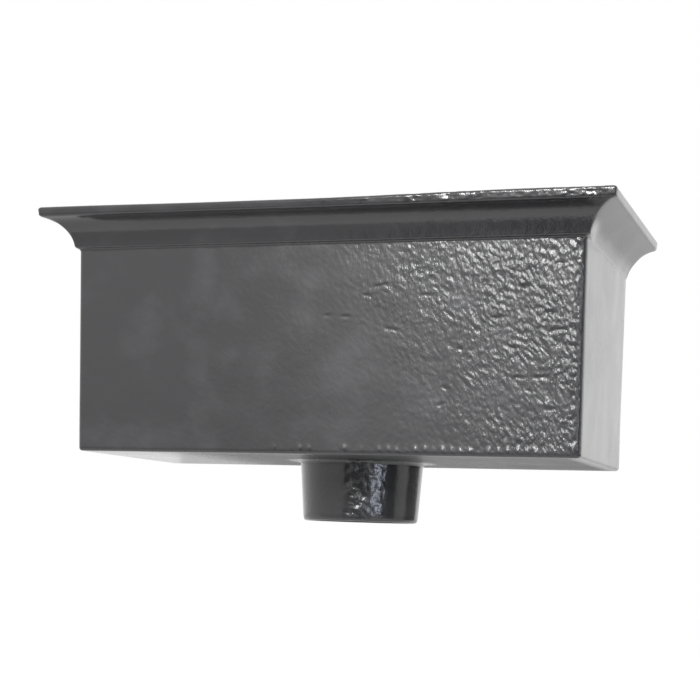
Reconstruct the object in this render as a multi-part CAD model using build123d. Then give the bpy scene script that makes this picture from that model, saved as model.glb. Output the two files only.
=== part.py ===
from build123d import *
import os

# Cast rainwater hopper for the foot of a gutter: a flat-backed box that narrows downwards, with
# an ogee step, a cove and a lip round its three free sides, and a round spigot under its floor.
# Origin: the spigot's axis at its lower end. +Z is up and +Y points into the wall behind.

# Box, measured outside
wall_top_width = 320.0
wall_bottom_width = 314.0
wall_top_depth = 152.0
wall_bottom_depth = 146.0
wall_height = 125.0
upright_edge_radius = 3.0
lower_edge_radius = 2.0

# Moulding, measured out from the wall's top edge and up from it
step_projection = 2.5
step_foot = 0.5
step_height = 3.0
cove_start_angle = 80.0
cove_rise = 16.0
lip_projection = 20.0
lip_thickness = 6.5
lip_rounding = 2.0

# Metal and inside
wall_thickness = 5.0
floor_thickness = 6.0
rim_width = 8.5
inner_corner_radius = 8.0
floor_fillet = 6.0

# Outlet spigot
axis_to_back = 55.0
spigot_length = 38.0
spigot_top_radius = 39.5
spigot_end_radius = 36.5
spigot_fillet = 2.5
spigot_end_wall = 4.5
spigot_end_rounding = 2.0
bore_mouth_rounding = 6.0

# Screw holes in the back, for fixing to the wall
fixing_hole_radius = 5.0
fixing_hole_spacing = 220.0
fixing_hole_drop = 29.5

# Heights and planes that follow from these sizes
underside = spigot_length
wall_top = underside + wall_height
moulding_height = step_height + cove_rise + lip_thickness
rim_top = wall_top + moulding_height
floor_top = underside + floor_thickness
bore_radius = spigot_end_radius - spigot_end_wall
back = axis_to_back
inner_back = back - wall_thickness
side_lean = (wall_top_width - wall_bottom_width) / 2 / wall_height
front_lean = (wall_top_depth - wall_bottom_depth) / wall_height
overlap = wall_thickness / 2


def outer_half_width(z):
    return wall_bottom_width / 2 + side_lean * (z - underside)


def outer_front(z):
    return back - wall_bottom_depth - front_lean * (z - underside)


def leaning_box(inset, low):
    """The box's outline drawn in by the inset, from the height low to the top of the walls."""
    low_half_width = outer_half_width(low) - inset
    top_half_width = outer_half_width(wall_top) - inset
    rear = back - inset
    front_view = Polyline(
        (-low_half_width, low),
        (low_half_width, low),
        (top_half_width, wall_top),
        (-top_half_width, wall_top),
        (-low_half_width, low),
    )
    side_view = Polyline(
        (rear, low),
        (outer_front(low) + inset, low),
        (outer_front(wall_top) + inset, wall_top),
        (rear, wall_top),
        (rear, low),
    )
    seen_from_front = extrude(Plane.XZ * make_face(front_view), wall_top_depth, both=True)
    seen_from_side = extrude(Plane.YZ * make_face(side_view), wall_top_width, both=True)
    return seen_from_front & seen_from_side


def upright_edges(solid):
    return [edge for edge in solid.edges() if abs((edge % 0.5).Z) > 0.5]


def upper_box(inset):
    """The upright block inside the moulding, from the top of the walls to the rim."""
    front = outer_front(wall_top) + inset
    rear = back - inset
    plan = Rectangle(wall_top_width - 2 * inset, rear - front)
    return extrude(Pos(0, (front + rear) / 2, wall_top) * plan, moulding_height)


def swept_round(profile, half_width, front, rear):
    """A profile drawn with x out from the wall and y up from its top, run round the free sides."""
    start = Plane((-half_width, rear, wall_top), x_dir=(-1, 0, 0), z_dir=(0, 1, 0))
    path = Polyline(
        (-half_width, rear, wall_top),
        (-half_width, front, wall_top),
        (half_width, front, wall_top),
        (half_width, rear, wall_top),
    )
    return sweep(start * profile, path=path, transition=Transition.RIGHT)


def moulding():
    """Step, cove and lip, with mitred front corners and square ends at the back."""
    foot = Vector(0, -step_foot)
    arris = Vector(step_projection, step_height)
    middle = (foot + arris) * 0.5
    hollow_arc = TangentArc(foot, middle, tangent=(0, 1))
    round_arc = TangentArc(middle, arris, tangent=hollow_arc % 1)
    lip_foot = Vector(lip_projection, step_height + cove_rise)
    steepness = Vector(1, 0).rotate(Axis.Z, cove_start_angle)
    cove = TangentArc(arris, lip_foot, tangent=steepness)
    rest = Polyline(
        lip_foot,
        (lip_projection, moulding_height),
        (-overlap, moulding_height),
        (-overlap, -step_foot),
        foot,
    )
    profile = make_face(hollow_arc + round_arc + cove + rest)
    nose = profile.vertices().group_by(Axis.X)[-1]
    profile = fillet(nose, lip_rounding)
    return swept_round(profile, wall_top_width / 2, outer_front(wall_top), back)


def box():
    """The tapered box, with its upright and lower edges rounded, carried up to the rim."""
    walls = leaning_box(0, underside)
    walls = fillet(upright_edges(walls), upright_edge_radius)
    walls = fillet(walls.edges().group_by(Axis.Z)[0], lower_edge_radius)
    return walls + upper_box(0)


def hollow():
    """The water space: the walls' thickness inside the box, opening out under the rim."""
    rim_inner = wall_thickness + lip_projection - rim_width
    flare = TangentArc((0, 0), (rim_inner, moulding_height), tangent=(side_lean, 1))
    rest = Polyline((rim_inner, moulding_height), (-overlap, moulding_height), (-overlap, 0), (0, 0))
    opening = swept_round(
        make_face(flare + rest),
        wall_top_width / 2 - wall_thickness,
        outer_front(wall_top) + wall_thickness,
        inner_back,
    )
    space = leaning_box(wall_thickness, floor_top) + upper_box(wall_thickness) + opening
    space = fillet(upright_edges(space), inner_corner_radius)
    return fillet(space.edges().group_by(Axis.Z)[0], floor_fillet)


def spigot():
    """The tapered outlet, from inside the floor down to its rounded end."""
    outline = Polyline(
        (0, 0),
        (spigot_end_radius, 0),
        (spigot_top_radius, underside),
        (spigot_top_radius, floor_top),
        (0, floor_top),
        (0, 0),
    )
    return revolve(Plane.XZ * make_face(outline), Axis.Z)


def ring(solid, z, radius):
    """The round edges at one height, of one radius, about the spigot's axis."""
    rounds = [edge for edge in solid.edges().filter_by(GeomType.CIRCLE) if abs(edge.radius - radius) < 0.01]
    return [edge for edge in rounds if abs(edge.center().Z - z) < 0.01]


def fixing_holes():
    """Two round holes through the back, level with each other under the rim."""
    height = rim_top - fixing_hole_drop
    hole = Cylinder(fixing_hole_radius, 4 * wall_thickness, rotation=(90, 0, 0))
    places = [Pos(side * fixing_hole_spacing / 2, back, height) for side in (-1, 1)]
    return [place * hole for place in places]


casting = box() + moulding() - hollow() + spigot()
casting = casting - Cylinder(bore_radius, 3 * floor_top)
casting = fillet(ring(casting, underside, spigot_top_radius), spigot_fillet)
casting = fillet(ring(casting, floor_top, bore_radius), bore_mouth_rounding)
casting = fillet(ring(casting, 0, spigot_end_radius), spigot_end_rounding)
casting = casting - fixing_holes()

print("hopper_casting", casting.is_valid, round(casting.volume), casting.bounding_box())

os.makedirs("parts", exist_ok=True)
export_step(casting, "parts/hopper_casting.step")
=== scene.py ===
import math

import bmesh
import bpy
from mathutils import Matrix, Vector, noise


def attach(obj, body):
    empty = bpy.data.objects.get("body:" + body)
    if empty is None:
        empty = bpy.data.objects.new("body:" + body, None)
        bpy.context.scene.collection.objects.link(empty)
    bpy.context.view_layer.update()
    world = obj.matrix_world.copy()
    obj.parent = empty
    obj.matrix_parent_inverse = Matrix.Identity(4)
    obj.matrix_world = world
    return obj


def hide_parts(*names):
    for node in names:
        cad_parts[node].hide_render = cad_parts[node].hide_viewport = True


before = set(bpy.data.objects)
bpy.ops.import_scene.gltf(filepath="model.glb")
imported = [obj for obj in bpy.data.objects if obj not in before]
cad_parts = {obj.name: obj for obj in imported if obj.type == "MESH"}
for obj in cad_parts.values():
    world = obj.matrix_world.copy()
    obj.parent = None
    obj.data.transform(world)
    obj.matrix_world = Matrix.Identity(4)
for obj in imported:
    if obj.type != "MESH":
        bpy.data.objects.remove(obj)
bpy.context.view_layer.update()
mm = 0.001

print("stage 1: camera")

# The photograph was taken from the right and from about the height of the outlet's end, looking up.
viewpoint = {
    "place": (0.31997, -1.00483, -0.01271),
    "turn": 18.221,      # degrees to the left of straight on
    "rise": 6.682,       # degrees above level
    "roll": 1.895,
    "lens": 84.05,       # on a 36 mm frame
}


def makeCamera(view):
    data = bpy.data.cameras.new("studioCamera")
    data.sensor_width = 36.0
    data.lens = view["lens"]
    data.clip_start, data.clip_end = 0.05, 60.0
    camera = bpy.data.objects.new("studioCamera", data)
    bpy.context.scene.collection.objects.link(camera)
    turn = Matrix.Rotation(math.radians(view["turn"]), 4, "Z")
    rise = Matrix.Rotation(math.radians(90.0 + view["rise"]), 4, "X")
    roll = Matrix.Rotation(math.radians(view["roll"]), 4, "Z")
    camera.matrix_world = Matrix.Translation(view["place"]) @ turn @ rise @ roll
    bpy.context.scene.camera = camera


makeCamera(viewpoint)

print("stage 2: the casting's surface")

# Sizes of the casting in millimetres, as in its drawing.
casting = {
    "wallTopWidth": 320.0, "wallBottomWidth": 314.0,
    "wallTopDepth": 152.0, "wallBottomDepth": 146.0,
    "wallHeight": 125.0, "backPlane": 55.0, "wall": 5.0, "floor": 6.0,
    "uprightRounding": 3.0, "lowerRounding": 2.0, "innerRounding": 8.0, "floorFillet": 6.0,
    "stepOut": 2.5, "stepFoot": 0.5, "stepHeight": 3.0,
    "coveStart": 80.0, "coveRise": 16.0,
    "mitreRounding": 0.9, "mitreGrowth": 0.03,   # the mitre is a little rounder further out
    "lipOut": 20.0, "lipThick": 6.5, "lipRounding": 1.8, "lipLean": 0.36, "noseRise": 2.2,
    "rimWidth": 8.5, "rimSoftening": 1.0, "flareDrop": 0.6,
    "spigotLength": 38.0, "spigotTop": 39.5, "spigotEnd": 36.5, "spigotFillet": 2.5,
    "endRounding": 2.0, "bore": 32.0, "boreSoftening": 0.5, "mouthRounding": 6.0,
    "backSoftening": 0.7,
    "holeRadius": 5.0, "holeSpacing": 220.0, "holeDrop": 29.5, "holeSides": 32,
}

# Heights that follow from them.
level = {"underside": casting["spigotLength"]}
level["floorTop"] = level["underside"] + casting["floor"]
level["wallTop"] = level["underside"] + casting["wallHeight"]
level["lipFoot"] = level["wallTop"] + casting["stepHeight"] + casting["coveRise"]
level["rimTop"] = level["lipFoot"] + casting["lipThick"]

# How finely the skin is divided: fine where the front and the moulding are rough, coarse elsewhere.
fineCells = {"front": 300, "side": 26, "back": 24, "corner": 4}
coarseCells = {"front": 96, "side": 26, "back": 30, "corner": 3}
frontCrowding = 0.36   # closer together at the right of the front, where the casting is roughest
ringCells = {
    "wall": 150, "step": 4, "cove": 13, "coveDraft": 60, "nose": 4, "lipFace": 4, "rim": 2, "flare": 7,
    "innerWall": 14, "floor": 9, "bore": 5, "cone": 26, "underside": 15, "fillet": 4,
}


def tangentArc(start, end, heading, count):
    # points after start on the arc that leaves it at a heading in degrees and reaches end
    chord = Vector(end) - Vector(start)
    half = math.atan2(chord.y, chord.x) - math.radians(heading)
    side = 1.0 if half > 0 else -1.0
    radius = chord.length / (2.0 * math.sin(abs(half)))
    h = math.radians(heading)
    centre = Vector(start) + side * radius * Vector((-math.sin(h), math.cos(h)))
    points = []
    for k in range(1, count + 1):
        a = h + 2.0 * half * k / count - side * math.pi / 2.0
        points.append(centre + radius * Vector((math.cos(a), math.sin(a))))
    return points, heading + math.degrees(2.0 * half)


def quarter(count):
    # angles of a quarter turn, without its start
    return [math.radians(90.0 * k / count) for k in range(1, count + 1)]


def planStations(n):
    # which side or corner each point of a ring is on, and how far along it
    stations = []
    for name in ("left", "frontLeft", "front", "frontRight", "right", "backRight", "back", "backLeft"):
        kind = {"left": "side", "right": "side"}.get(name, name if name in n else "corner")
        stations += [(name, k / n[kind]) for k in range(n[kind])]
    return stations


fineStations = planStations(fineCells)
coarseStations = planStations(coarseCells)


def planPoint(station, plan):
    # a point of the rounded rectangle: half width, front, rear, front rounding and rear rounding
    halfWidth, front, rear, rf, rb = plan
    name, t = station
    if name == "left":
        return Vector((-halfWidth, rear - rb + t * (front + rf - rear + rb)))
    if name == "right":
        return Vector((halfWidth, front + rf + t * (rear - rb - front - rf)))
    if name == "front":
        t += frontCrowding * t * (1.0 - t)
        return Vector((-halfWidth + rf + t * 2.0 * (halfWidth - rf), front))
    if name == "back":
        return Vector((halfWidth - rb - t * 2.0 * (halfWidth - rb), rear))
    cornerStart = {"frontLeft": 180.0, "frontRight": 270.0, "backRight": 0.0, "backLeft": 90.0}[name]
    r = rf if name.startswith("front") else rb
    x = halfWidth - r if name.endswith("Right") else r - halfWidth
    y = front + r if name.startswith("front") else rear - r
    a = math.radians(cornerStart + 90.0 * t)
    return Vector((x + r * math.cos(a), y + r * math.sin(a)))


def wallHalfWidth(c, z):
    lift = min(max((z - level["underside"]) / c["wallHeight"], 0.0), 1.0)
    return (c["wallBottomWidth"] + lift * (c["wallTopWidth"] - c["wallBottomWidth"])) / 2.0


def planRing(c, stations, out, z, rearOut, rf, rb):
    # a ring round the box at one height, so far out from its walls and from its back
    lift = min(max((z - level["underside"]) / c["wallHeight"], 0.0), 1.0)
    depth = c["wallBottomDepth"] + lift * (c["wallTopDepth"] - c["wallBottomDepth"])
    plan = (wallHalfWidth(c, z) + out, c["backPlane"] - depth - out, c["backPlane"] + rearOut, rf, rb)
    return [Vector((*planPoint(s, plan), z)) for s in stations]


def wallRings(c, n):
    # lower edge and wall, outside
    rings = []
    r = c["lowerRounding"]
    upright = c["uprightRounding"]
    for a in [0.0] + quarter(n["fillet"]):
        inset = -r * (1.0 - math.sin(a))
        z = level["underside"] + r * (1.0 - math.cos(a))
        rings.append((planRing(c, fineStations, inset, z, inset, upright + inset, upright + inset), "wall"))
    foot = level["wallTop"] - c["stepFoot"]
    low = level["underside"] + r
    for k in range(1, n["wall"] + 1):
        z = low + (foot - low) * k / n["wall"]
        rings.append((planRing(c, fineStations, 0.0, z, 0.0, upright, upright), "wall"))
    return rings


def mouldingProfile(c, n):
    # ogee step, cove and lip: x runs out from the wall and y up from its top edge
    top = level["rimTop"] - level["wallTop"]
    foot = Vector((0.0, -c["stepFoot"]))
    arris = Vector((c["stepOut"], c["stepHeight"]))
    middle = (foot + arris) / 2.0
    hollowArc, heading = tangentArc(foot, middle, 90.0, n["step"])
    roundArc, heading = tangentArc(middle, arris, heading, n["step"])
    lipFoot = Vector((c["lipOut"], c["stepHeight"] + c["coveRise"]))
    noseReach = c["lipOut"] - c["lipRounding"]
    draft = [p for p in tangentArc(arris, lipFoot, c["coveStart"], n["coveDraft"])[0] if p.x < noseReach]
    cove = [draft[round((k + 1) * len(draft) / n["cove"]) - 1] for k in range(n["cove"])]
    climb = draft[-1] - draft[-2]
    heading = math.degrees(math.atan2(climb.y, climb.x))
    nose = Vector((c["lipOut"] - c["lipLean"], cove[-1].y + c["noseRise"]))
    underNose = tangentArc(cove[-1], nose, heading, n["nose"])[0]
    lipEdge = Vector((c["lipOut"], top - c["lipRounding"]))
    lipFace = [underNose[-1].lerp(lipEdge, k / n["lipFace"]) for k in range(1, n["lipFace"] + 1)]
    overNose = tangentArc(lipEdge, (noseReach, top), 90.0, n["nose"])[0]
    return hollowArc + roundArc + cove + underNose + lipFace + overNose


def mouldingRings(c, n):
    rings = []
    upright = c["uprightRounding"]
    sharp = c["mitreRounding"]
    back = c["backSoftening"]
    softFrom = level["rimTop"] - level["wallTop"] - back
    for k, p in enumerate(mouldingProfile(c, n)):
        blend = min((k + 1) / (2 * n["step"]), 1.0)
        rf = upright + (sharp - upright) * blend + c["mitreGrowth"] * p.x
        rb = upright + (back - upright) * blend
        drop = max(p.y - softFrom, 0.0)
        rearOut = math.sqrt(max(back * back - drop * drop, 0.0)) - back
        rings.append((planRing(c, fineStations, p.x, level["wallTop"] + p.y, rearOut, rf, rb), "moulding"))
    return rings


def insideRings(c, n):
    # flat rim, flare, wall and floor fillet
    rings = []

    def add(out, z, rearOut, rf, rb, zone):
        rings.append((planRing(c, coarseStations, out, z, rearOut, rf, rb), zone))

    noseReach = c["lipOut"] - c["lipRounding"]
    rimInner = c["lipOut"] - c["rimWidth"]
    soft = c["rimSoftening"]
    sharp = c["mitreRounding"]
    back = c["backSoftening"]
    inner = c["innerRounding"]
    wall = c["wall"]
    for k in range(1, n["rim"] + 1):
        t = k / n["rim"]
        out = noseReach + (rimInner + soft - noseReach) * t
        rearOut = -back + (-wall + soft + back) * t
        rf = sharp + (inner - soft - sharp) * t
        add(out, level["rimTop"], rearOut, rf, max(back, (inner - soft) * t), "rim")
    for a in quarter(3)[:2]:
        inset = soft * (1.0 - math.sin(a))
        add(rimInner + inset, level["rimTop"] - soft * (1.0 - math.cos(a)), inset - wall, inner, inner, "rim")
    flareTop = Vector((rimInner, level["rimTop"] - level["wallTop"] - c["flareDrop"]))
    flare = tangentArc((-wall, 0.0), flareTop, 90.0, n["flare"])[0]
    for p in reversed(flare[:-1]):
        add(p.x, level["wallTop"] + p.y, -wall, inner, inner, "inside")
    fillet = c["floorFillet"]
    bottom = level["floorTop"] + fillet
    for k in range(n["innerWall"] + 1):
        z = level["wallTop"] + (bottom - level["wallTop"]) * k / n["innerWall"]
        add(-wall, z, -wall, inner, inner, "inside")
    for a in quarter(n["fillet"]):
        reach = fillet * (1.0 - math.cos(a))
        out = -wall - reach
        add(out, bottom - fillet * math.sin(a), out, inner - reach, inner - reach, "inside")
    return rings


def spread(ring, other, count):
    # rings on the flat between two rings, the second one among them
    return [[p.lerp(q, k / count) for p, q in zip(ring, other)] for k in range(1, count + 1)]


def outletRings(c, n, floorEdge):
    # floor, bore and spigot: each point keeps its own angle about the outlet's axis
    def roundRing(radius, z):
        return [Vector((p.x, p.y, 0.0)).normalized() * radius + Vector((0.0, 0.0, z)) for p in floorEdge]

    def rounding(radius, turned):
        # how far in and how far up the edge of a rounded corner has come
        return radius * (1.0 - math.sin(turned)), radius * (1.0 - math.cos(turned))

    bore = c["bore"]
    underside = level["underside"]
    inside = spread(floorEdge, roundRing(bore + c["mouthRounding"], level["floorTop"]), n["floor"])
    for a in quarter(n["fillet"]):
        across, down = rounding(c["mouthRounding"], a)
        inside.append(roundRing(bore + across, level["floorTop"] - down))
    soft = c["boreSoftening"]
    for k in range(1, n["bore"] + 1):
        inside.append(roundRing(bore, underside + (soft - underside) * k / n["bore"]))
    endRound = c["endRounding"]
    eased = soft * 0.3   # half way round the softened edge of the bore
    end = [roundRing(bore + eased, eased), roundRing(bore + soft, 0.0)]
    end.append(roundRing(c["spigotEnd"] - endRound, 0.0))
    outside = []
    for a in quarter(n["fillet"]):
        across, up = rounding(endRound, a)
        outside.append(roundRing(c["spigotEnd"] - across, up))
    taper = (c["spigotTop"] - c["spigotEnd"]) / underside
    root = underside - c["spigotFillet"]
    for k in range(1, n["cone"] + 1):
        z = endRound + (root - endRound) * k / n["cone"]
        outside.append(roundRing(c["spigotEnd"] + taper * z, z))
    rootRadius = c["spigotEnd"] + taper * root
    for a in quarter(n["fillet"]):
        reach = c["spigotFillet"] * (1.0 - math.cos(a))
        outside.append(roundRing(rootRadius + reach, root + c["spigotFillet"] * math.sin(a)))
    zoned = ((inside, "inside"), (end, "end"), (outside, "spigot"))
    return [(ring, zone) for group, zone in zoned for ring in group]


def castingRings(c, n):
    # up the outside, over the rim, down the inside, through the bore, up the outside of the spigot
    # and out under the floor, to just inside the first ring
    rings = wallRings(c, n) + mouldingRings(c, n) + insideRings(c, n)
    rings += outletRings(c, n, rings[-1][0])
    r = c["lowerRounding"]
    corner = c["uprightRounding"] - r
    outer = planRing(c, coarseStations, -r, level["underside"], -r, corner, corner)
    return rings + [(ring, "under") for ring in spread(rings[-1][0], outer, n["underside"])[:-1]]


def loopEdges(bm, ring):
    return [bm.edges.get((ring[k - 1], ring[k])) for k in range(len(ring))]


def newLoop(bm, points):
    ring = [bm.verts.new(p * mm) for p in points]
    for k in range(len(ring)):
        bm.edges.new((ring[k - 1], ring[k]))
    return ring


def sideStarts(ring):
    # where each side and corner begins in a ring, and the end of the last one
    stations = fineStations if len(ring) == len(fineStations) else coarseStations
    return [k for k, (name, t) in enumerate(stations) if t == 0.0] + [len(ring)]


def joinRings(bm, ring, following):
    # one side or corner at a time, because the two rings may be divided differently
    starts, otherStarts = sideStarts(ring), sideStarts(following)
    for k in range(len(starts) - 1):
        edges = []
        for verts, ends in ((ring, starts), (following, otherStarts)):
            chain = [verts[i % len(verts)] for i in range(ends[k], ends[k + 1] + 1)]
            edges += [bm.edges.get(pair) for pair in zip(chain, chain[1:])]
        bmesh.ops.bridge_loops(bm, edges=edges)


def ringAfter(bm, ring, points):
    # the next ring is extruded from the last one, or bridged to it where it has fewer points
    if len(points) != len(ring):
        following = newLoop(bm, points)
        joinRings(bm, ring, following)
        return following
    made = bmesh.ops.extrude_edge_only(bm, edges=loopEdges(bm, ring))["geom"]
    fresh = {item for item in made if isinstance(item, bmesh.types.BMVert)}
    following = []
    for vert, point in zip(ring, points):
        twin = next(e.other_vert(vert) for e in vert.link_edges if e.other_vert(vert) in fresh)
        twin.co = point * mm
        following.append(twin)
    return following


def makeCasting(c, n):
    rings = castingRings(c, n)
    bm = bmesh.new()
    for layer in ("foldDepth", "dullness"):
        bm.verts.layers.float.new(layer)
    first = newLoop(bm, rings[0][0])
    ring = first
    zones = {v: rings[0][1] for v in first}
    for points, zone in rings[1:]:
        ring = ringAfter(bm, ring, points)
        for vert in ring:
            zones[vert] = zone
    joinRings(bm, ring, first)
    bmesh.ops.recalc_face_normals(bm, faces=bm.faces)
    bm.normal_update()
    print("  rings", len(rings), "points", len(bm.verts), "faces", len(bm.faces))
    return bm, zones


bm, zones = makeCasting(casting, ringCells)

print("stage 3: the rough skin of the sand mould")

# What the sand left on the front: depths, sizes and places in millimetres, angles in degrees.
front = {
    "foldDepth": 0.52, "calmPart": 0.12,             # worm-like folds, and their share at the calm left
    "foldWidth": 1.05, "foldLength": 2.8, "foldLean": 17.0,
    "fineWidth": 0.45, "fineLength": 0.6, "finePart": 0.4,   # finer ones among them, as shares
    "bend": 4.5, "bendSize": (19.0, 17.0), "waver": 0.6, "waverSize": 5.0,
    "growFrom": 8.0, "growTo": 122.0,                # where they set in
    "growLean": 0.45, "growLevel": 110.0,            # sooner the higher they are
    "patchSize": (21.0, 16.0), "patchCalm": 0.55, "patchShare": 0.45,
    "cornerExtra": 0.3, "cornerAcross": (95.0, 140.0), "cornerUp": (110.0, 150.0),
    "calmFoot": 4.0,
    "swellDepth": 0.16, "swellSize": 17.0,
    "lapDepth": 0.60, "lapCalm": 0.25,
    "edgeDepth": 0.75, "edgeSize": (1.6, 2.9),       # a column of beads along the right edge
    "edgeBand": (1.5, 3.5, 5.5, 8.5),
    "shoulder": 0.80, "shoulderWidth": 6.0,          # how it falls away towards its right edge
}

# A row of small beads just above the lower edge, thinning out to the left.
beads = {
    "depth": 0.60, "pitch": 5.5, "rise": 3.2, "halfWidth": 1.35, "halfHeight": 2.0,
    "shift": 0.9, "climb": 1.2, "unevenness": 1.5, "largest": 1.2,
    "growth": (-30.0, 110.0), "shown": (-110.0, 20.0),
}

# Laps, where the iron folded over itself: place across and up, half length and tilt in degrees.
laps = (
    (124.6, 135.5, 3.4, 4.0), (139.5, 120.2, 3.2, -3.0), (109.0, 117.6, 3.8, 2.0),
    (145.6, 110.3, 4.6, 3.0), (117.1, 100.3, 2.8, -16.0), (121.7, 83.1, 2.6, -8.0),
    (134.7, 83.1, 3.6, 6.0), (87.0, 99.6, 1.8, 0.0), (66.8, 131.2, 3.6, -3.0),
    (146.1, 148.4, 3.2, 2.0), (153.4, 101.3, 2.4, 0.0), (154.1, 116.2, 1.4, 0.0),
    (78.4, 77.0, 2.6, -20.0), (140.0, 65.2, 3.4, 5.0), (127.8, 75.4, 2.2, -22.0),
    (75.9, 67.4, 2.4, 24.0), (39.2, 137.3, 4.6, 12.0), (30.7, 131.5, 2.8, -14.0),
    (6.0, 119.9, 2.0, 4.0), (17.3, 119.2, 3.2, 0.0), (45.8, 111.3, 4.4, -10.0),
    (154.0, 72.0, 3.0, -60.0),
)
lapShape = {
    "above": 1.1, "below": 0.5,                      # half widths of the groove over and under its middle
    "swell": 0.25, "swellAt": 2.3, "swellWidth": 1.3,
    "reachAlong": 2.5, "reachAcross": 8.0,
}

# The same for the rest of the casting.
skin = {
    "sideDepth": 0.16, "sideSize": 22.0, "sideStretch": 2.0,
    "backDepth": 0.12, "backSize": 9.0,
    "insideDepth": 0.20, "insideSize": 6.0,
    "settle": 0.9,                                   # how far bumps are sunk, to stay inside the outline
    "growth": (-20.0, 100.0),                        # where the moulding and the lip turn rough
    "mouldingDepth": 0.30, "mouldingSize": 3.4, "mouldingHeight": 1.3,
    "mouldingCalm": 0.12, "mouldingFront": 0.5, "mouldingSide": 0.1,
    "lipDepth": 0.58, "lipSize": 1.9, "lipFade": 1.5, "lipCalm": 0.06, "lipSide": 0.3,
    "stretchSize": 8.0, "stretchCalm": 0.12, "stretchRange": (-0.15, 0.4),   # grittier and calmer stretches
    "spigotDepth": 1.05, "spigotSize": 2.6, "spigotHeight": 0.8, "spigotCalm": 0.04, "spigotFoot": 3.0,
    "patchAt": 12.0, "patchWidth": 10.0, "ragged": 5.0, "raggedSize": 6.0,   # a rough patch, in degrees
    "secondPatch": 0.30, "secondAt": 33.0, "secondWidth": 8.0,
}

# How the rim dips left of its middle, and how the step dies out towards the back of the sides, where
# the cove grows out of the wall along a plain curve.
sagging = {
    "dip": 1.4, "dipRange": (130.0, -10.0), "rise": 0.35, "riseRange": (-60.0, -160.0), "dipFoot": 3.0,
    "plainOut": 7.56, "plainPower": 2.2, "plainFoot": -2.0, "plainTop": 13.0, "fade": (-97.0, -74.0),
}


def smooth(low, high, value):
    t = min(max((value - low) / (high - low), 0.0), 1.0)
    return t * t * (3.0 - 2.0 * t)


def lapHeight(x, z, shape):
    # a short groove, steep at its lower side, with a smooth swelling above it
    height = 0.0
    for lapX, lapZ, reach, tilt in laps:
        dx, dz = x - lapX, z - lapZ
        if abs(dx) > shape["reachAlong"] * reach or abs(dz) > shape["reachAcross"]:
            continue
        turn = math.radians(tilt)
        along = dx * math.cos(turn) + dz * math.sin(turn)
        across = dz * math.cos(turn) - dx * math.sin(turn)
        run = math.exp(-(along / reach) ** 4)
        swell = shape["swell"] * math.exp(-((across - shape["swellAt"]) / shape["swellWidth"]) ** 2)
        width = shape["above"] if across > 0.0 else shape["below"]
        height += run * (swell - math.exp(-(across / width) ** 2))
    return height


def beadHeight(x, rise, b):
    k = round(x / b["pitch"])
    shift = b["shift"] * noise.noise(Vector((k * 1.7, 0.4, 0.2)))
    size = smooth(*b["growth"], x) + b["unevenness"] * noise.noise(Vector((k * 2.3, 4.1, 0.6)))
    dx = (x - k * b["pitch"] - shift) / b["halfWidth"]
    dz = (rise - b["rise"] - b["climb"] * shift) / b["halfHeight"]
    return min(max(size, 0.0), b["largest"]) * smooth(*b["shown"], x) * math.exp(-dx * dx - dz * dz)


def folds(x, z, f):
    # worm-like folds that lean from upper left to lower right
    wide, high = f["bendSize"]
    waver = f["waverSize"]
    bend = f["bend"] * noise.noise(Vector((x / wide, z / high, 3.1)))
    bend += f["waver"] * noise.noise(Vector((x / waver, z / waver, 8.6)))
    lean = math.radians(f["foldLean"])
    across = x * math.cos(lean) + z * math.sin(lean) + bend
    along = x * math.sin(lean) - z * math.cos(lean) + bend
    across /= f["foldWidth"]
    along /= f["foldLength"]
    coarse = noise.noise(Vector((across, along, 0.7)))
    fine = noise.noise(Vector((across * f["fineWidth"], along * f["fineLength"], 5.3)))
    return coarse + f["finePart"] * fine


def frontGrowth(x, z, f):
    # how rough the front is at a place, from 0 to 1
    grown = smooth(f["growFrom"], f["growTo"], x + f["growLean"] * (z - f["growLevel"]))
    wide, high = f["patchSize"]
    patch = smooth(-0.4, 0.3, noise.noise(Vector((x / wide, z / high, 9.4))))
    return grown * (f["patchCalm"] + f["patchShare"] * patch)


def frontHeight(x, z, f, c):
    growth = f["calmPart"] + (1.0 - f["calmPart"]) * frontGrowth(x, z, f)
    growth *= 1.0 + f["cornerExtra"] * smooth(*f["cornerAcross"], x) * smooth(*f["cornerUp"], z)
    rise = z - level["underside"]
    height = f["foldDepth"] * growth * folds(x, z, f) * smooth(0.0, f["calmFoot"], rise)
    height += f["swellDepth"] * noise.noise(Vector((x / f["swellSize"], z / f["swellSize"], 6.3)))
    height += f["lapDepth"] * lapHeight(x, z, lapShape) * (f["lapCalm"] + (1.0 - f["lapCalm"]) * growth)
    height += beads["depth"] * beadHeight(x, rise, beads)
    inset = wallHalfWidth(c, z) - x
    start, full, last, end = f["edgeBand"]
    band = smooth(start, full, inset) * smooth(end, last, inset)
    wide, high = f["edgeSize"]
    height += band * f["edgeDepth"] * noise.noise(Vector((x / wide, z / high, 7.7)))
    return height - f["shoulder"] * smooth(f["shoulderWidth"], 0.0, inset)


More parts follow.
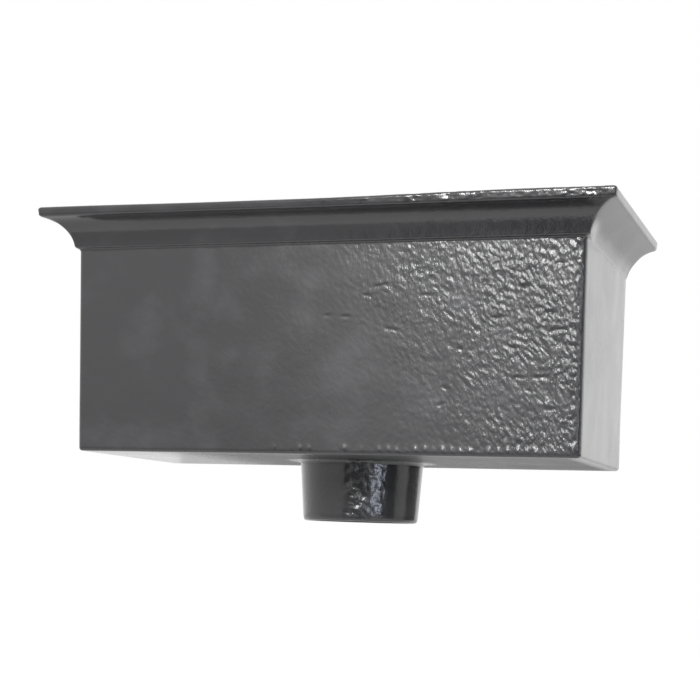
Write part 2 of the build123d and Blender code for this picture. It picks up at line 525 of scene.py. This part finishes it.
def mouldingHeight(p, facing, side, s):
    grown = smooth(*s["growth"], p.x)
    depth = s["mouldingDepth"] * (s["mouldingCalm"] + s["mouldingFront"] * grown * facing
                                  + s["mouldingSide"] * side)
    size = s["mouldingSize"]
    bumps = noise.noise(Vector((p.x / size, p.y / size, p.z / size * s["mouldingHeight"])))
    lip = smooth(level["lipFoot"] - s["lipFade"], level["lipFoot"], p.z) * s["lipDepth"]
    lip *= s["lipCalm"] + (1.0 - s["lipCalm"]) * grown
    lip *= s["lipSide"] + (1.0 - s["lipSide"]) * facing
    stretch = smooth(*s["stretchRange"], noise.noise(Vector((p.x / s["stretchSize"], 2.2, 6.1))))
    lip *= s["stretchCalm"] + (1.0 - s["stretchCalm"]) * stretch
    size = s["lipSize"]
    grit = noise.noise(Vector((p.x / size, p.y / size, p.z / size)))
    return depth * (bumps - s["settle"]) + lip * (grit - s["settle"])


def roughPatch(p, s):
    # how much of the rough patch on the outlet's front lies at a point, from 0 to 1
    azimuth = math.degrees(math.atan2(p.x, -p.y))
    ragged = s["ragged"] * noise.noise(Vector((p.z / s["raggedSize"], 2.7, 1.4)))
    patch = math.exp(-((azimuth - s["patchAt"] + ragged) / s["patchWidth"]) ** 4)
    return patch + s["secondPatch"] * math.exp(-((azimuth - s["secondAt"]) / s["secondWidth"]) ** 4)


def skinHeight(p, normal, zone, s, c):
    facing = max(-normal.y, 0.0) ** 2   # 1 where the surface faces the front
    side = normal.x ** 2
    if zone == "wall":
        rear = max(normal.y, 0.0) ** 2
        across, up = p.y / s["sideSize"], p.z / (s["sideStretch"] * s["sideSize"])
        height = facing * frontHeight(p.x, p.z, front, c)
        height += side * s["sideDepth"] * noise.noise(Vector((across, up, p.x)))
        return height + rear * s["backDepth"] * (noise.noise(p / s["backSize"]) - 1.0)
    if zone == "moulding":
        return mouldingHeight(p, facing, side, s)
    if zone == "spigot":
        size = s["spigotSize"]
        bumps = noise.noise(Vector((p.x / size, p.y / size, p.z / (s["spigotHeight"] * size))))
        rough = s["spigotCalm"] + roughPatch(p, s)
        return s["spigotDepth"] * bumps * rough * smooth(0.0, s["spigotFoot"], p.z)
    if zone == "inside":
        return s["insideDepth"] * noise.noise(p / s["insideSize"])
    if zone == "under":
        return s["sideDepth"] * noise.noise(p / s["sideSize"])
    return 0.0


def sag(p, g, c):
    dip = g["dip"] * (smooth(*g["dipRange"], p.x) - g["rise"] * smooth(*g["riseRange"], p.x))
    drop = dip * smooth(level["lipFoot"] - g["dipFoot"], level["rimTop"], p.z)
    rise = p.z - level["wallTop"]
    inward = 0.0
    if rise < g["plainTop"]:
        climbed = max(rise - g["plainFoot"], 0.0) / (g["plainTop"] - g["plainFoot"])
        out = abs(p.x) - c["wallTopWidth"] / 2.0
        inward = max(out - g["plainOut"] * climbed ** g["plainPower"], 0.0) * smooth(*g["fade"], p.y)
    return Vector((math.copysign(inward, -p.x), 0.0, -drop))


# How deep the small folds in the enamel are and how dull it is, from 0 to 1, zone by zone.
enamel = {
    "underFolds": 1.1, "underDull": 0.85, "underRange": (-125.0, -60.0),
    "spigotFolds": 0.1, "patchFolds": 0.6, "spigotDull": 0.15,
    "frontFolds": 0.12, "roughFolds": 0.95,
    "wallDull": 0.1, "frontDull": 0.58, "frontRange": (-90.0, 110.0),
    "mouldingFolds": 0.12, "rightFolds": 0.6, "rightRange": (0.0, 110.0), "lipCalm": 0.4,
    "sideDull": 0.1, "lipDull": 0.35, "lipRange": (-20.0, 90.0), "lipBand": (-1.0, 0.5),
    "otherFolds": 0.3, "otherDull": 0.6,
}


def finish(p, normal, zone, e):
    facing = max(-normal.y, 0.0) ** 2
    if zone == "under":
        reached = smooth(*e["underRange"], p.x)
        return e["underFolds"] * reached, e["underDull"] * reached
    if zone == "spigot":
        return e["spigotFolds"] + e["patchFolds"] * roughPatch(p, skin), e["spigotDull"]
    if zone == "wall":
        grown = frontGrowth(p.x, p.z, front) * facing
        dull = e["wallDull"] + facing * e["frontDull"] * smooth(*e["frontRange"], p.x)
        return e["frontFolds"] * facing + e["roughFolds"] * grown, dull
    if zone == "moulding":
        below, above = e["lipBand"]
        lip = smooth(level["lipFoot"] + below, level["lipFoot"] + above, p.z) * smooth(*e["lipRange"], p.x)
        folded = (e["mouldingFolds"] + e["rightFolds"] * smooth(*e["rightRange"], p.x)) * facing
        dull = e["sideDull"] * normal.x ** 2 + e["lipDull"] * facing * lip
        return folded * (1.0 - e["lipCalm"] * lip), dull
    return e["otherFolds"], e["otherDull"]


def roughen(bm, zones, c):
    moves = []
    depth = bm.verts.layers.float["foldDepth"]
    dull = bm.verts.layers.float["dullness"]
    for vert in bm.verts:
        p = vert.co / mm
        normal = vert.normal
        moves.append((normal * skinHeight(p, normal, zones[vert], skin, c) + sag(p, sagging, c)) * mm)
        vert[depth], vert[dull] = finish(p, normal, zones[vert], enamel)
    for vert, move in zip(bm.verts, moves):
        vert.co += move


roughen(bm, zones, casting)


def finishMesh(bm, name):
    mesh = bpy.data.meshes.new(name)
    bm.to_mesh(mesh)
    bm.free()
    for polygon in mesh.polygons:
        polygon.use_smooth = True
    return mesh


def makeHoleCutter(c):
    bm = bmesh.new()
    for side in (-0.5, 0.5):
        place = Vector((side * c["holeSpacing"], c["backPlane"], level["rimTop"] - c["holeDrop"])) * mm
        turn = Matrix.Rotation(math.radians(90.0), 4, "X")
        bmesh.ops.create_cone(bm, cap_ends=True, segments=c["holeSides"], radius1=c["holeRadius"] * mm,
                              radius2=c["holeRadius"] * mm, depth=4.0 * c["wall"] * mm,
                              matrix=Matrix.Translation(place) @ turn)
    return bpy.data.objects.new("cutter", finishMesh(bm, "cutter"))


def cutHoles(mesh, c):
    # two screw holes through the back
    solid = bpy.data.objects.new("solid", mesh)
    cutter = makeHoleCutter(c)
    for obj in (solid, cutter):
        bpy.context.scene.collection.objects.link(obj)
    cut = solid.modifiers.new("holes", "BOOLEAN")
    cut.operation = "DIFFERENCE"
    cut.solver = "MANIFOLD"
    cut.object = cutter
    graph = bpy.context.evaluated_depsgraph_get()
    result = bpy.data.meshes.new_from_object(solid.evaluated_get(graph))
    for obj in (solid, cutter):
        bpy.data.objects.remove(obj)
    result.set_sharp_from_angle(angle=math.radians(50.0))
    result.name = "castingSkin"
    return result


castingSkin = bpy.data.objects.new("castingSkin", cutHoles(finishMesh(bm, "whole"), casting))
bpy.context.scene.collection.objects.link(castingSkin)
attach(castingSkin, "root")
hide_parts("hopper_casting")
castingSkin.data.calc_loop_triangles()
print("  triangles", len(castingSkin.data.loop_triangles))

print("stage 4: paint")


def linear(code):
    # an sRGB hex colour as linear red, green, blue and alpha
    values = [int(code[k:k + 2], 16) / 255.0 for k in (1, 3, 5)]
    return [v / 12.92 if v <= 0.04045 else ((v + 0.055) / 1.055) ** 2.4 for v in values] + [1.0]


def addNode(tree, kind, settings=None, links=None):
    # adds a node, sets its properties and input values, and links its inputs to other sockets
    node = tree.nodes.new(kind)
    for name, value in (settings or {}).items():
        if hasattr(node, name):
            setattr(node, name, value)
        else:
            node.inputs[name].default_value = value
    for name, socket in (links or {}).items():
        tree.links.new(socket, node.inputs[name])
    return node


def addRange(tree, value, start, end, low, high):
    # maps a value from one range to another
    node = addNode(tree, "ShaderNodeMapRange", {"From Min": start, "From Max": end}, {"Value": value})
    node.inputs["To Min"].default_value = low
    node.inputs["To Max"].default_value = high
    return node.outputs["Result"]


def addMath(tree, operation, *values):
    # each value is a number or a socket
    node = addNode(tree, "ShaderNodeMath", {"operation": operation})
    for k, value in enumerate(values):
        if isinstance(value, float):
            node.inputs[k].default_value = value
        else:
            tree.links.new(value, node.inputs[k])
    return node.outputs["Value"]


# Black gloss enamel, brushed and sprayed over sand-cast grey iron. To the eye it is a wet-looking
# skin, dark where it faces the viewer and pale where it is seen at a low angle, that breaks up into
# glints on the folds the sand left.
paint = {
    "colour": "#262628", "dusty": "#39393b", "dustRange": (0.50, 0.80),
    "gloss": 0.16, "dull": 0.70, "dullRange": (0.15, 1.3),               # the iron's undercoat
    "coatGloss": 0.09, "coatDull": 0.46, "coatRange": (0.62, 1.4),       # the gloss coat over it
    "coatWeight": 0.8, "glass": 1.5,
    "pitch": 1.0, "pitchDepth": 0.36,   # millimetres: small folds between the modelled ones
    "pitchLean": 28.0, "pitchStretch": 0.5,
    "grain": 0.5, "grainDepth": 0.02,   # millimetres: sand grain under the enamel
    "patch": 30.0, "patchShare": 0.5,   # millimetres: size of the duller patches
}


def addNoise(tree, size, detail, place):
    settings = {"Scale": 1.0 / (size * mm), "Detail": detail}
    return addNode(tree, "ShaderNodeTexNoise", settings, {"Vector": place}).outputs["Fac"]


def makePaint(p):
    material = bpy.data.materials.new("glossEnamelOnCastIron")
    material.use_nodes = True
    tree = material.node_tree
    tree.nodes.clear()
    place = addNode(tree, "ShaderNodeTexCoord").outputs["Object"]
    leaning = addNode(tree, "ShaderNodeMapping", {"Rotation": (0.0, math.radians(p["pitchLean"]), 0.0),
                                                  "Scale": (1.0, 1.0, p["pitchStretch"])},
                      {"Vector": place})
    small = addNoise(tree, p["pitch"], 2.0, leaning.outputs["Vector"])
    depth = addNode(tree, "ShaderNodeAttribute", {"attribute_name": "foldDepth"}).outputs["Fac"]
    foldBump = addNode(tree, "ShaderNodeBump", {"Strength": 1.0, "Distance": p["pitchDepth"] * mm},
                       {"Height": addMath(tree, "MULTIPLY", small, depth)})
    grainBump = addNode(tree, "ShaderNodeBump", {"Strength": 1.0, "Distance": p["grainDepth"] * mm},
                        {"Height": addNoise(tree, p["grain"], 2.0, place),
                         "Normal": foldBump.outputs["Normal"]})
    patches = addNoise(tree, p["patch"], 4.0, place)
    dull = addNode(tree, "ShaderNodeAttribute", {"attribute_name": "dullness"}).outputs["Fac"]
    worn = addMath(tree, "MULTIPLY_ADD", patches, p["patchShare"], dull)
    colour = addNode(tree, "ShaderNodeMix", {"data_type": "RGBA"})
    tree.links.new(addRange(tree, patches, *p["dustRange"], 0.0, 1.0), colour.inputs[0])
    colour.inputs[6].default_value = linear(p["colour"])
    colour.inputs[7].default_value = linear(p["dusty"])
    normal = grainBump.outputs["Normal"]
    shader = addNode(tree, "ShaderNodeBsdfPrincipled",
                     {"IOR": p["glass"], "Coat Weight": p["coatWeight"], "Coat IOR": p["glass"]},
                     {"Base Color": colour.outputs[2], "Normal": normal, "Coat Normal": normal,
                      "Roughness": addRange(tree, worn, *p["dullRange"], p["gloss"], p["dull"]),
                      "Coat Roughness": addRange(tree, worn, *p["coatRange"], p["coatGloss"], p["coatDull"])})
    addNode(tree, "ShaderNodeOutputMaterial", None, {"Surface": shader.outputs["BSDF"]})
    return material


castingSkin.data.materials.clear()
castingSkin.data.materials.append(makePaint(paint))

print("stage 5: paper sweep, room and lamps")

# Lengths are in metres and levels are shares of full white.
studio = {
    "floorHeight": -0.25, "floorFront": -0.37, "floorBack": 3.0, "floorLeft": -4.0, "floorRight": 0.78,
    "paper": "#f0f0f0",
    "paperLift": 0.85,      # added to the paper where the camera sees it, so that it turns white
    "glowRange": (0.3, 1.1), "glowNear": 0.30, "glowFar": 0.55,   # painted light: how bright the paper glows in the enamel's reflections, dimmer near the casting
    "roomLight": 0.11,      # what the white room gives to matt surfaces; the lamps add the rest
    "roomWalls": 0.97,      # how bright the white walls look in the enamel
    "roomFloor": 0.62,      # the grey floor of the room, below the paper's front edge
    "skirting": (-0.16, -0.02),   # where the floor turns into wall, as the sine of the angle
    "lowRange": (0.05, -0.02),    # where the low dark things begin
}

# Dark things round the casting, between two azimuths in degrees to the right of the front.
darkThings = {
    "doorway": {"between": (57.0, 88.0), "level": 0.10, "low": False},
    "screen": {"between": (-15.0, 31.0), "level": 0.20, "low": True},
    "bench": {"between": (116.0, 157.0), "level": 0.12, "low": True},
    "shelf": {"between": (-178.0, -156.0), "level": 0.62, "low": True},
}


def makeFloor(s):
    bm = bmesh.new()
    bmesh.ops.create_grid(bm, x_segments=2, y_segments=2, size=0.5)
    across = (s["floorRight"] + s["floorLeft"]) / 2.0
    away = (s["floorBack"] + s["floorFront"]) / 2.0
    size = (s["floorRight"] - s["floorLeft"], s["floorBack"] - s["floorFront"], 1.0)
    bmesh.ops.scale(bm, verts=bm.verts, vec=size)
    bmesh.ops.translate(bm, verts=bm.verts, vec=(across, away, s["floorHeight"]))
    floor = bpy.data.objects.new("paperSweep", finishMesh(bm, "paperSweep"))
    bpy.context.scene.collection.objects.link(floor)
    floor.data.materials.append(makePaper(s))


def makePaper(s):
    material = bpy.data.materials.new("matWhitePaper")
    material.use_nodes = True
    tree = material.node_tree
    tree.nodes.clear()
    place = addNode(tree, "ShaderNodeTexCoord").outputs["Object"]
    away = addNode(tree, "ShaderNodeVectorMath", {"operation": "LENGTH"})
    tree.links.new(place, away.inputs[0])
    glow = addRange(tree, away.outputs["Value"], *s["glowRange"], s["glowNear"], s["glowFar"])
    rays = addNode(tree, "ShaderNodeLightPath")
    # painted light: the paper glows only where the enamel mirrors it, less near the casting and more further
    # off; camera rays get an even lift to white
    mirrored = addMath(tree, "MULTIPLY", rays.outputs["Is Glossy Ray"], glow)
    lit = addMath(tree, "MULTIPLY_ADD", rays.outputs["Is Camera Ray"], s["paperLift"], mirrored)
    shader = addNode(tree, "ShaderNodeBsdfPrincipled",
                     {"Base Color": linear(s["paper"]), "Roughness": 0.9, "Emission Color": (1, 1, 1, 1)},
                     {"Emission Strength": lit})
    addNode(tree, "ShaderNodeOutputMaterial", None, {"Surface": shader.outputs["BSDF"]})
    return material


def darkFactor(tree, azimuth, low, thing):
    # 1 outside the dark thing and its level inside it
    start, end = thing["between"]
    middle, half = math.radians((start + end) / 2.0), math.radians((end - start) / 2.0)
    inside = addMath(tree, "COMPARE", azimuth, middle, half)
    if thing["low"]:
        inside = addMath(tree, "MULTIPLY", inside, low)
    return addRange(tree, inside, 0.0, 1.0, 1.0, thing["level"])


def makeWorld(s):
    world = bpy.data.worlds.new("whiteRoom")
    bpy.context.scene.world = world
    world.use_nodes = True
    tree = world.node_tree
    tree.nodes.clear()
    direction = addNode(tree, "ShaderNodeTexCoord").outputs["Generated"]
    axes = addNode(tree, "ShaderNodeSeparateXYZ", None, {"Vector": direction}).outputs
    around = addRange(tree, axes["Z"], *s["skirting"], s["roomFloor"], s["roomWalls"])
    low = addRange(tree, axes["Z"], *s["lowRange"], 0.0, 1.0)
    azimuth = addMath(tree, "ARCTAN2", axes["X"], addMath(tree, "MULTIPLY", axes["Y"], -1.0))
    for thing in darkThings.values():
        around = addMath(tree, "MULTIPLY", around, darkFactor(tree, azimuth, low, thing))
    rays = addNode(tree, "ShaderNodeLightPath").outputs
    seen = addMath(tree, "MAXIMUM", rays["Is Glossy Ray"], rays["Is Transmission Ray"])
    strength = addMath(tree, "MULTIPLY", around, addRange(tree, seen, 0.0, 1.0, s["roomLight"], 1.0))
    white = addMath(tree, "MAXIMUM", strength, rays["Is Camera Ray"])
    sky = addNode(tree, "ShaderNodeBackground", {"Color": (1, 1, 1, 1)}, {"Strength": white})
    addNode(tree, "ShaderNodeOutputWorld", None, {"Surface": sky.outputs["Background"]})


# Azimuth is in degrees to the right of straight in front, rise in degrees above level.
lampAim = (0.0, -0.03, 0.1)
lamps = {
    "lowSoftbox": {"azimuth": 50.0, "rise": -9.8, "away": 1.5, "size": (0.40, 0.22), "radiance": 6.8,
                   "colour": "#dfe8ff"},
    "frontSoftbox": {"azimuth": 5.0, "rise": 22.0, "away": 1.6, "size": (0.66, 0.50), "radiance": 30.0,
                     "colour": "#ffffff"},
}


def addLamp(name, settings):
    data = bpy.data.lights.new(name, "AREA")
    data.shape = "RECTANGLE"
    data.size, data.size_y = settings["size"]
    data.energy = settings["radiance"] * math.pi * data.size * data.size_y
    data.color = linear(settings["colour"])[:3]
    lamp = bpy.data.objects.new(name, data)
    bpy.context.scene.collection.objects.link(lamp)
    turn = Matrix.Rotation(math.radians(settings["azimuth"]), 3, "Z")
    tilt = Matrix.Rotation(math.radians(-settings["rise"]), 3, "X")
    aim = Vector(lampAim)
    lamp.location = aim + turn @ tilt @ Vector((0.0, -settings["away"], 0.0))
    lamp.rotation_euler = (aim - lamp.location).to_track_quat("-Z", "Y").to_euler()


makeFloor(studio)
makeWorld(studio)
for name, settings in lamps.items():
    addLamp(name, settings)

bpy.context.scene.view_settings.view_transform = "Standard"
